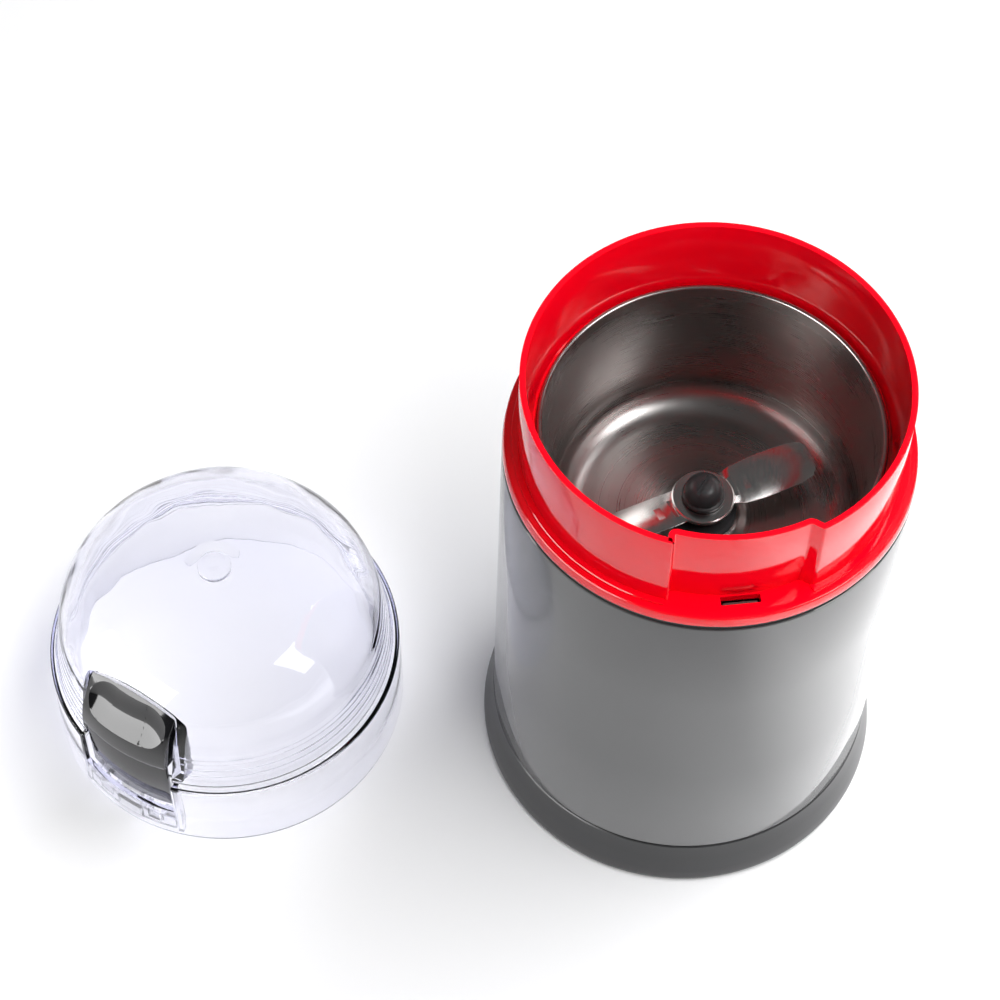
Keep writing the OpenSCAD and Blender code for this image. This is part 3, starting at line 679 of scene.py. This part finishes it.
class GrinderPlunger(bpy.types.Operator):
    """Model the interlock plunger that shows in the collar's slot"""

    bl_idname = "grinder.plunger"
    bl_label = "Plunger"

    def execute(self, context):
        place = at(BODY, sizes().recess_turn + SLOT_OFF)
        head = block("plunger_head", (39.72, -3.72, 112.9), (40.88, 3.72, 119.85), place)
        round_edges(head, 0.2 * MM, 2)
        foot = block("plunger_foot", (39.72, -4.85, 112.85), (40.88, 4.85, 115.55), place)
        round_edges(foot, 0.15 * MM, 2)
        profile = [(0, 99.75), (0.5, 99.82), (0.85, 100.1), (1.05, 100.6), (1.05, 113.2), (0, 113.2)]
        stem = turn_profile("plunger_stem", profile, place @ Vector((SLOT_R * MM, 0, 0)), 48)
        profile = [(0, 119.4), (0.75, 119.4), (0.62, 119.9), (0.35, 120.12), (0, 120.17)]
        bump_at = place @ Vector((SLOT_R * MM, 0.6 * MM, 0))
        plunger = bring_together(
            "plunger_moulding", head, foot, stem, turn_profile("plunger_bump", profile, bump_at, 32))
        smooth(plunger, 35)
        finish = bpy.data.materials["plunger_black"]
        polish(plunger, finish, "plunger", "interlock_plunger", slot="black_plastic")
        return {"FINISHED"}


def lid_profiles():
    """The outer and inner lines of the clear lid, from the foot up, in millimetres."""
    outer = [(42.95, 0.05), (43.2, 0.25), (43.28, 0.7), (43.05, 10), (42.8, 22.2), (42.7, 22.75),
             (42.4, 23.1), (41.75, 23.25), (41.45, 23.5), (41.3, 23.9), (40.9, 26.2), (40.15, 30.5),
             (39.5, 34.2)]
    outer += arc(*SHOULDER, 22, 10.5, 76, 16)
    outer += arc(0, CROWN_Z, 93.5, 79, 90, 5)
    inner = arc(0, CROWN_Z, 91.0, 90, 79, 5)
    inner += arc(*SHOULDER, 19.5, 76, 10.5, 16)
    # below the shoulder the inside has fine level ripples
    inner += [(36.9 + 0.185 * (34.2 - z) + 0.05 * math.sin(z * 3.1) + 0.03 * math.sin(z * 5.3), z)
              for z in (34.2 - 0.35 * i for i in range(28))]
    inner += [(38.75, 24.0), (39.2, 22.7), (41.05, 22.65), (41.6, 22.35), (41.75, 21.8), (41.8, 10),
              (41.8, 0.7), (41.95, 0.2), (42.15, 0.05)]
    return outer, inner


class GrinderLid(bpy.types.Operator):
    """Model the clear domed lid with the pocket for its button"""

    bl_idname = "grinder.lid"
    bl_label = "Lid"

    def ripple(self, dome):
        """The inside of the dome is a little wavy, away from the pocket."""

        def wavy(co):
            p = co - LID
            r, z = math.hypot(p.x, p.y) / MM, p.z / MM
            if z < 30 or abs(math.degrees(math.atan2(p.y, p.x) - sizes().button_turn)) < 28:
                return False
            if math.hypot(r - SHOULDER[0], z - SHOULDER[1]) < 20.3 and r > 17:
                return True
            return r <= 17.5 and z < 55.4

        edit(dome)
        choose(dome, wavy)
        bpy.ops.object.vertex_group_assign_new()
        leave()
        waves = bpy.data.textures.new("mould_waves", "CLOUDS")
        waves.noise_scale = 0.013
        waves.noise_depth = 1
        sway = dome.modifiers.new("Waves", "DISPLACE")
        sway.texture = waves
        sway.texture_coords = "LOCAL"
        sway.strength = 0.0007
        sway.mid_level = 0.5
        sway.vertex_group = dome.vertex_groups[0].name
        bpy.ops.object.modifier_apply(modifier=sway.name)

    def execute(self, context):
        outer, inner = lid_profiles()
        facing = sizes().button_turn
        turn = at(LID, facing)
        dome = turn_profile("lid_shell", outer + inner, LID, LID_STEPS)
        self.ripple(dome)
        full = turn_profile("lid_full", [(0, 0)] + outer, LID, LID_STEPS)
        pocket = block("pocket_block", (31.7, -14.1, 22.9), (46, 14.1, 62), turn)
        round_edges(pocket, 0.8 * MM, 3)
        carve(pocket, full, "INTERSECT")
        carve(dome, pocket, "UNION")
        hollow = block("pocket_hollow", (33.2, -POCKET_HALF, 24.3), (52, POCKET_HALF, 72), turn)
        round_edges(hollow, 1.4 * MM, 4)
        carve(dome, hollow)
        profile = [(39.45, 11.5), (47, 11.5), (47, 26.2), (39.45, 26.2)]
        half = math.asin(POCKET_HALF / 41.5)
        carve(dome, turn_profile("window_cutter", profile, LID, 24, 2 * half, facing - half))
        profile = [(39.6, 0.8), (42.0, 0.8), (42.0, 23.5), (39.6, 23.5)]
        half = math.radians(0.85)
        for side in (-1, 1):
            start = facing + side * math.asin(13.25 / 41) - half
            carve(dome, turn_profile("side_rib", profile, LID, 3, 2 * half, start), "UNION")
        profile = [(0, 23.9), (1.05, 23.9), (1.05, 27.8), (0.9, 28), (0, 28)]
        post = turn_profile("spring_post", profile, turn @ Vector((SPRING_X * MM, 0, 0)), 32)
        carve(dome, post, "UNION")
        # the gate's mark stands in a shallow dimple on the crown
        profile = [(0, 56.9), (4.3, 56.9), (5, 56.98), (6, 57.16), (7.4, 57.42), (7.4, 60), (0, 60)]
        carve(dome, turn_profile("gate_dimple", profile, LID, SMALL_STEPS))
        profile = [(0, 56.5), (4, 56.5), (4, 57.75), (3.85, 57.98), (3.5, 58.04), (2.9, 57.9),
                   (1.7, 57.72), (1.5, 57.8), (1.2, 58.0), (0, 58.04)]
        carve(dome, turn_profile("gate_nub", profile, LID, SMALL_STEPS), "UNION")
        tidy_mesh(dome)
        dome.name = "lid_dome"
        smooth(dome, 32)
        polish(dome, clear_plastic("lid_clear", colours().lid_tint), "lid", "lid_cover", slot="clear_plastic")
        return {"FINISHED"}


class GrinderGuide(bpy.types.Operator):
    """Model the clear guide that holds the button's leg"""

    bl_idname = "grinder.guide"
    bl_label = "Button guide"

    def execute(self, context):
        facing, half = sizes().button_turn, math.asin(12.2 / 41)
        profile = [(39.55, 1.65), (41.55, 1.65), (41.55, 7.45), (39.55, 7.45)]
        guide = turn_profile("leg_guide", profile, LID, 24, 2 * half, facing - half)
        turn = at(LID, facing)
        carve(guide, block("leg_way", (36, -3.4, 0), (41.12, 3.4, 12), turn))
        for side in (-1, 1):
            low, high = sorted((side * 5.2, side * 8.6))
            carve(guide, block("step", (36, low, 3.2), (40.7, high, 12), turn))
        round_edges(guide, 0.15 * MM, 2)
        smooth(guide, 35)
        polish(guide, bpy.data.materials["lid_clear"], "lid", "button_guide", slot="clear_plastic")
        return {"FINISHED"}


class GrinderButton(bpy.types.Operator):
    """Model the lid button: a cap with a thumb dish, a curved face and a leg"""

    bl_idname = "grinder.button"
    bl_label = "Lid button"

    def cap(self):
        """The cap follows the lid's shoulder, and a thumb dish is pressed into its slope."""
        turn, half = sizes().button_turn, sizes().button_width / MM / 2
        side = [(31, 30.8), (41.4, 30.8), (41.75, 31.1), (41.95, 31.7), (41.98, 32.4), (41.85, 33.8),
                (41.55, 35.6), (41.2, 37.2), (40.8, 38.5), (40.35, 39.3), (39.7, 40.4), (39.0, 41.6),
                (38.1, 43.0), (37.2, 44.3), (36.3, 45.5), (35.4, 46.6), (34.2, 47.85), (33, 48.95),
                (31, 50.4)]
        cap = turn_profile("button_cap", side, LID, 40, math.radians(50), turn - math.radians(25))
        ahead = Vector((math.cos(turn), math.sin(turn), 0))
        aside = Vector((-math.sin(turn), math.cos(turn), 0))
        edit(cap)
        for point, normal in ((LID + aside * half * MM, aside), (LID - aside * half * MM, -aside),
                              (LID + ahead * 33.72 * MM, -ahead)):
            bpy.ops.mesh.select_all(action="SELECT")
            bpy.ops.mesh.bisect(plane_co=point, plane_no=normal, use_fill=True, clear_outer=True)
        leave()
        tidy_mesh(cap)
        round_edges(cap, 1.6 * MM, 5, 50)
        reach, rise, bow = 47.59, 48.94, 13
        dish = arc(reach, rise, bow, 0, 356, 89)
        swing = math.radians(7.5)
        carve(cap, turn_profile("dish_cutter", dish, LID, 24, 2 * swing, turn - swing))
        for a in (turn - swing, turn + swing):
            clear_selection()
            place = (LID.x + reach * MM * math.cos(a), LID.y + reach * MM * math.sin(a), rise * MM)
            bpy.ops.mesh.primitive_uv_sphere_add(segments=90, ring_count=45, radius=bow * MM, location=place)
            carve(cap, settle(bpy.context.object))
        carve(cap, block("cap_hollow", (34.8, -9.4, 28), (39.1, 9.4, 37.6), at(LID, turn)))
        tidy_mesh(cap)
        return round_edges(cap, 0.4 * MM, 3, 24)

    def band(self, name, low, high, half, inner, outer, steps=20):
        """A curved plate between two radii, as wide as half each way."""
        swing = math.asin(half / outer)
        profile = [(inner, low), (outer, low), (outer, high), (inner, high)]
        plate = turn_profile(name, profile, LID, steps, 2 * swing, sizes().button_turn - swing)
        return round_edges(plate, 0.15 * MM, 2)

    def execute(self, context):
        half = sizes().button_width / MM / 2 - 0.25
        cap = self.cap()
        face = self.band("button_face", 11.85, 31.2, half, 39.95, 41.2)
        button = bring_together("button_moulding", cap, face)
        smooth(button, 38)
        finish = moulded("piano_black", colours().button, 0.08, 0.02, 0.00001, 220, 0.000002, 7000,
                         shade=0.1, IOR=1.6)
        polish(button, finish, "button", "lid_button", slot="black_plastic")
        leg = self.band("leg_stem", 0.9, 11.75, 2.95, 39.8, 40.8, 8)
        toe = self.band("leg_toe", 0.72, 1.28, 3.65, 39.8, 40.8, 8)
        clip = self.band("leg_clip", 9.85, 19.95, 2.95, 39.35, 40.48, 8)
        leg = bring_together("button_leg_moulding", leg, toe, clip)
        smooth(leg, 38)
        milky = moulded("leg_milky", (0.82, 0.82, 0.84), 0.3, 0.05, 0.00002, 300, 0.000006, 5000,
                        shade=0.03, Transmission_Weight=0.35)
        polish(leg, milky, "button", "button_leg", slot="white_plastic")
        return {"FINISHED"}


class GrinderGland(bpy.types.Operator):
    """Model the rubber cord entry at the back"""

    bl_idname = "grinder.gland"
    bl_label = "Cord entry"

    def execute(self, context):
        profile = [(3.32, 42.3), (5.3, 42.3), (5.3, 43.4), (4.3, 43.45), (4.3, 45.72), (5.7, 45.74),
                   (5.95, 45.95), (5.9, 46.3), (5.2, 46.75), (4.6, 46.9), (3.7, 46.9), (3.32, 46.6)]
        gland = turn_profile("cord_bush", profile, Vector((0, 0, 0)), SMALL_STEPS)
        lay = Matrix.Rotation(math.radians(-90), 4, "X")
        gland.data.transform(Matrix.Translation((BODY.x, 0, GLAND_Z * MM)) @ lay)
        smooth(gland, 30)
        polish(gland, bpy.data.materials["rubber_black"], "root", "cord_gland", slot="gland_rubber")
        return {"FINISHED"}


class GrinderFinishes(bpy.types.Operator):
    """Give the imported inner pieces, screws, feet and base plate their finishes"""

    bl_idname = "grinder.finishes"
    bl_label = "Inner finishes"

    def execute(self, context):
        rubber = moulded("rubber_black", (0.012, 0.012, 0.013), 0.62, 0.08, 0.00004, 500, 0.00002, 5000, 0.2)
        nylon = moulded("nylon_black", (0.018, 0.018, 0.019), 0.34, 0.06, 0.00003, 300, 0.00001, 5000, 0.15)
        moulded("plunger_black", (0.07, 0.055, 0.052), 0.3, 0.05, 0.00002, 400, 0.000006, 6000, 0.2)
        steel = drawn_steel("screw_steel", (0.72, 0.72, 0.73), 0.22)
        iron = laminated("stack_iron", (0.42, 0.42, 0.44))
        copper = wound_copper("coil_copper", (0.8, 0.36, 0.17))
        alloy = moulded("cast_alloy", (0.55, 0.56, 0.58), 0.45, 0.1, 0.00005, 350, 0.00003, 2500, 0.12,
                        Metallic=0.9)
        bronze = moulded("bearing_bronze", (0.6, 0.42, 0.2), 0.35, 0.08, 0.00003, 500, 0.00002, 4000, 0.15,
                         Metallic=1.0)
        carbon = moulded("brush_carbon", (0.03, 0.03, 0.03), 0.5, 0.1, 0.00003, 600, 0.00002, 4000, 0.3,
                         Metallic=0.3)
        ivory, yellow, blue, fan_blue, red = (
            moulded(name, colour, rough, spread, 0.00003, scale, 0.00001, 5000)
            for name, colour, rough, spread, scale in (
                ("terminal_ivory", (0.78, 0.74, 0.62), 0.42, 0.06, 350),
                ("capacitor_yellow", (0.75, 0.5, 0.05), 0.25, 0.05, 350),
                ("lead_blue", (0.04, 0.13, 0.45), 0.38, 0.06, 500),
                ("fan_blue", (0.05, 0.13, 0.3), 0.4, 0.06, 350),
                ("switch_red", (0.6, 0.03, 0.02), 0.3, 0.05, 350)))
        wears = {
            # collar_gasket is a black ring in the gap between the shell and the collar, and makes the thin
            # dark line there
            "base_plate": nylon, "collar_gasket": rubber, "rubber_feet": rubber, "base_screws": steel,
            "bowl_seal": rubber, "stator_core": iron, "field_coils": copper, "upper_bracket": alloy,
            "lower_bracket": nylon, "upper_bearing": bronze, "lower_bearing": bronze, "motor_screws": steel,
            "motor_bushes": rubber, "mount_screws": steel, "brush_holders": bronze, "carbon_brushes": carbon,
            "brush_springs": steel, "microswitch": nylon, "switch_bracket": steel, "switch_screws": steel,
            "terminal_block": ivory, "capacitor": yellow, "lead_wires": blue, "motor_shaft": steel,
            "rotor_core": iron, "rotor_windings": copper, "commutator": copper, "cooling_fan": fan_blue,
            "blade_spacer": nylon, "plunger_spring": steel, "switch_lever": steel, "switch_button": red,
            "button_spring": steel}
        for name, finish in wears.items():
            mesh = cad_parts[name].data
            mesh.materials.clear()
            mesh.materials.append(finish)
        return {"FINISHED"}


class GrinderStage(bpy.types.Operator):
    """Set up the pale floor, the soft lights and the camera"""

    bl_idname = "grinder.stage"
    bl_label = "Stage"

    def floor(self):
        clear_selection()
        bpy.ops.mesh.primitive_plane_add(size=6, location=(0, 0, -0.0001))
        floor = bpy.context.object
        floor.name = "stage_floor"
        finish, tree, shader = new_finish("stage_white")
        adjust(shader, Base_Color=(0.86, 0.86, 0.87, 1), Roughness=0.6, Specular_IOR_Level=0.2)
        place = node(tree, "TexCoord").outputs["Object"]
        reach = node(tree, "VectorMath", place, operation="LENGTH").outputs["Value"]
        path = node(tree, "LightPath").outputs
        # far from the object the floor turns into a plain white backdrop
        far = span(tree, reach, 0.06, 1.0, start=0.3, end=0.9, interpolation_type="SMOOTHSTEP")
        seen = calc(tree, "MAXIMUM", path["Is Camera Ray"], path["Is Transmission Ray"])
        # and for glossy rays only the floor glows brighter towards the side that the light comes from: a
        # painted reflection of that light on the glossy sides
        across = node(tree, "SeparateXYZ", place).outputs["X"]
        bright = span(tree, across, 0.0, 0.9, start=0.085, end=0.135)
        shine = calc(tree, "MULTIPLY", bright, span(tree, reach, 1.0, 0.0, start=0.3, end=0.6))
        glint = calc(tree, "MULTIPLY", shine, path["Is Glossy Ray"])
        level = calc(tree, "MAXIMUM", calc(tree, "MULTIPLY", far, seen), glint)
        glow = node(tree, "Emission", Strength=level)
        both = node(tree, "AddShader", shader.outputs["BSDF"], glow.outputs["Emission"])
        adjust(tree.nodes["Material Output"], Surface=both.outputs["Shader"])
        floor.data.materials.append(finish)

    def lamp(self, name, place, aim, width, height, power, kind):
        """An area lamp that lights matt surfaces or only shows as a shape in glossy ones."""
        clear_selection()
        bpy.ops.object.light_add(type="AREA", location=place)
        lamp = bpy.context.object
        lamp.name = name
        lamp.data.shape = "RECTANGLE"
        lamp.data.size = width
        lamp.data.size_y = height
        lamp.data.energy = power
        lamp.rotation_mode = "QUATERNION"
        lamp.rotation_quaternion = (Vector(aim) - Vector(place)).to_track_quat("-Z", "Y")
        lamp.visible_diffuse = kind == "light"
        lamp.visible_glossy = kind == "shape"
        lamp.visible_transmission = False

    def softbox(self, name, turn, rise, width, height, level):
        """A bright shape in the reflections, placed by its direction from the object."""
        turn, rise, far = math.radians(turn), math.radians(rise), 1.2
        ahead = Vector((math.cos(turn) * math.cos(rise), math.sin(turn) * math.cos(rise), math.sin(rise)))
        aim = Vector((0, 0, 0.05))
        self.lamp(name, ahead * far + aim, aim, width, height, 4 * width * height * level, "shape")

    def world(self):
        """White to the camera, dim to glossy surfaces, and paler low down through clear plastic."""
        world = bpy.data.worlds.new("studio_white") if not bpy.data.worlds else bpy.data.worlds[0]
        bpy.context.scene.world = world
        world.use_nodes = True
        tree = world.node_tree
        place = node(tree, "TexCoord").outputs["Generated"]
        path = node(tree, "LightPath").outputs
        rise = span(tree, node(tree, "SeparateXYZ", place).outputs["Z"], 0.9, 0.45, start=0.05, end=0.7)
        level = PLAIN_LIGHT
        for ray, value in (("Is Glossy Ray", 0.1), ("Is Transmission Ray", rise), ("Is Camera Ray", 1.0)):
            level = span(tree, path[ray], level, value)
        # light that has left a matt surface keeps the plain level, also through the clear lid
        level = span(tree, path["Diffuse Depth"], level, PLAIN_LIGHT)
        adjust(tree.nodes["Background"], Color=(1, 1, 1, 1), Strength=level)
        bpy.context.scene.view_settings.view_transform = "Standard"

    def camera(self):
        clear_selection()
        pitch, roll = math.radians(57.67), math.radians(1.0908)
        ahead = Vector((0, math.cos(pitch), -math.sin(pitch)))
        right, up = Vector((1, 0, 0)), Vector((0, math.sin(pitch), math.cos(pitch)))
        side = right * math.cos(roll) + up * math.sin(roll)
        top = up * math.cos(roll) - right * math.sin(roll)
        bpy.ops.object.camera_add(location=(BODY.x - 0.04499, -0.32988, 0.61645))
        camera = bpy.context.object
        camera.rotation_euler = Matrix((side, top, -ahead)).transposed().to_euler()
        camera.data.sensor_width = 36
        camera.data.lens = 99.77
        camera.data.clip_start = 0.01
        camera.data.clip_end = 20
        bpy.context.scene.camera = camera

    def execute(self, context):
        self.floor()
        self.lamp("key_strip", (0.36, -0.05, 0.95), (0.03, 0, 0.05), 1.2, 0.35, 15, "light")
        self.lamp("fill", (-0.75, -0.35, 0.7), (0.03, 0, 0.1), 0.4, 0.4, 0.8, "light")
        self.softbox("left_softbox", -152, 19, 1.2, 1.0, 6)
        self.softbox("right_softbox", -20, 44, 0.45, 0.75, 5)
        self.softbox("back_softbox", 28, 51, 0.1, 0.25, 6)
        self.world()
        self.camera()
        return {"FINISHED"}


STEPS = (GrinderFinishes, GrinderShell, GrinderBase, GrinderCollar, GrinderBowl, GrinderBlade, GrinderPlunger,
         GrinderLid, GrinderGuide, GrinderButton, GrinderGland, GrinderStage)


class GrinderPanel(bpy.types.Panel):
    """Lists the grinder's pieces, sizes and colours in the sidebar"""

    bl_idname = "VIEW3D_PT_grinder"
    bl_label = "Spice grinder"
    bl_space_type = "VIEW_3D"
    bl_region_type = "UI"
    bl_category = "Grinder"

    def draw(self, context):
        for step in STEPS:
            self.layout.operator(step.bl_idname)
        for group in (sizes(), colours()):
            for key in group.bl_rna.properties.keys():
                if key not in ("rna_type", "name"):
                    self.layout.prop(group, key)


CLASSES = (GrinderSizes, GrinderColours, *STEPS, GrinderPanel)


def register():
    for made in CLASSES:
        bpy.utils.register_class(made)
    bpy.types.Scene.grinder_sizes = bpy.props.PointerProperty(type=GrinderSizes)
    bpy.types.Scene.grinder_colours = bpy.props.PointerProperty(type=GrinderColours)


def unregister():
    del bpy.types.Scene.grinder_colours
    del bpy.types.Scene.grinder_sizes
    for made in reversed(CLASSES):
        bpy.utils.unregister_class(made)


def main():
    register()
    for step in STEPS:
        group, name = step.bl_idname.split(".")
        getattr(getattr(bpy.ops, group), name)()
    clear_selection()


if __name__ == "__main__":
    main()
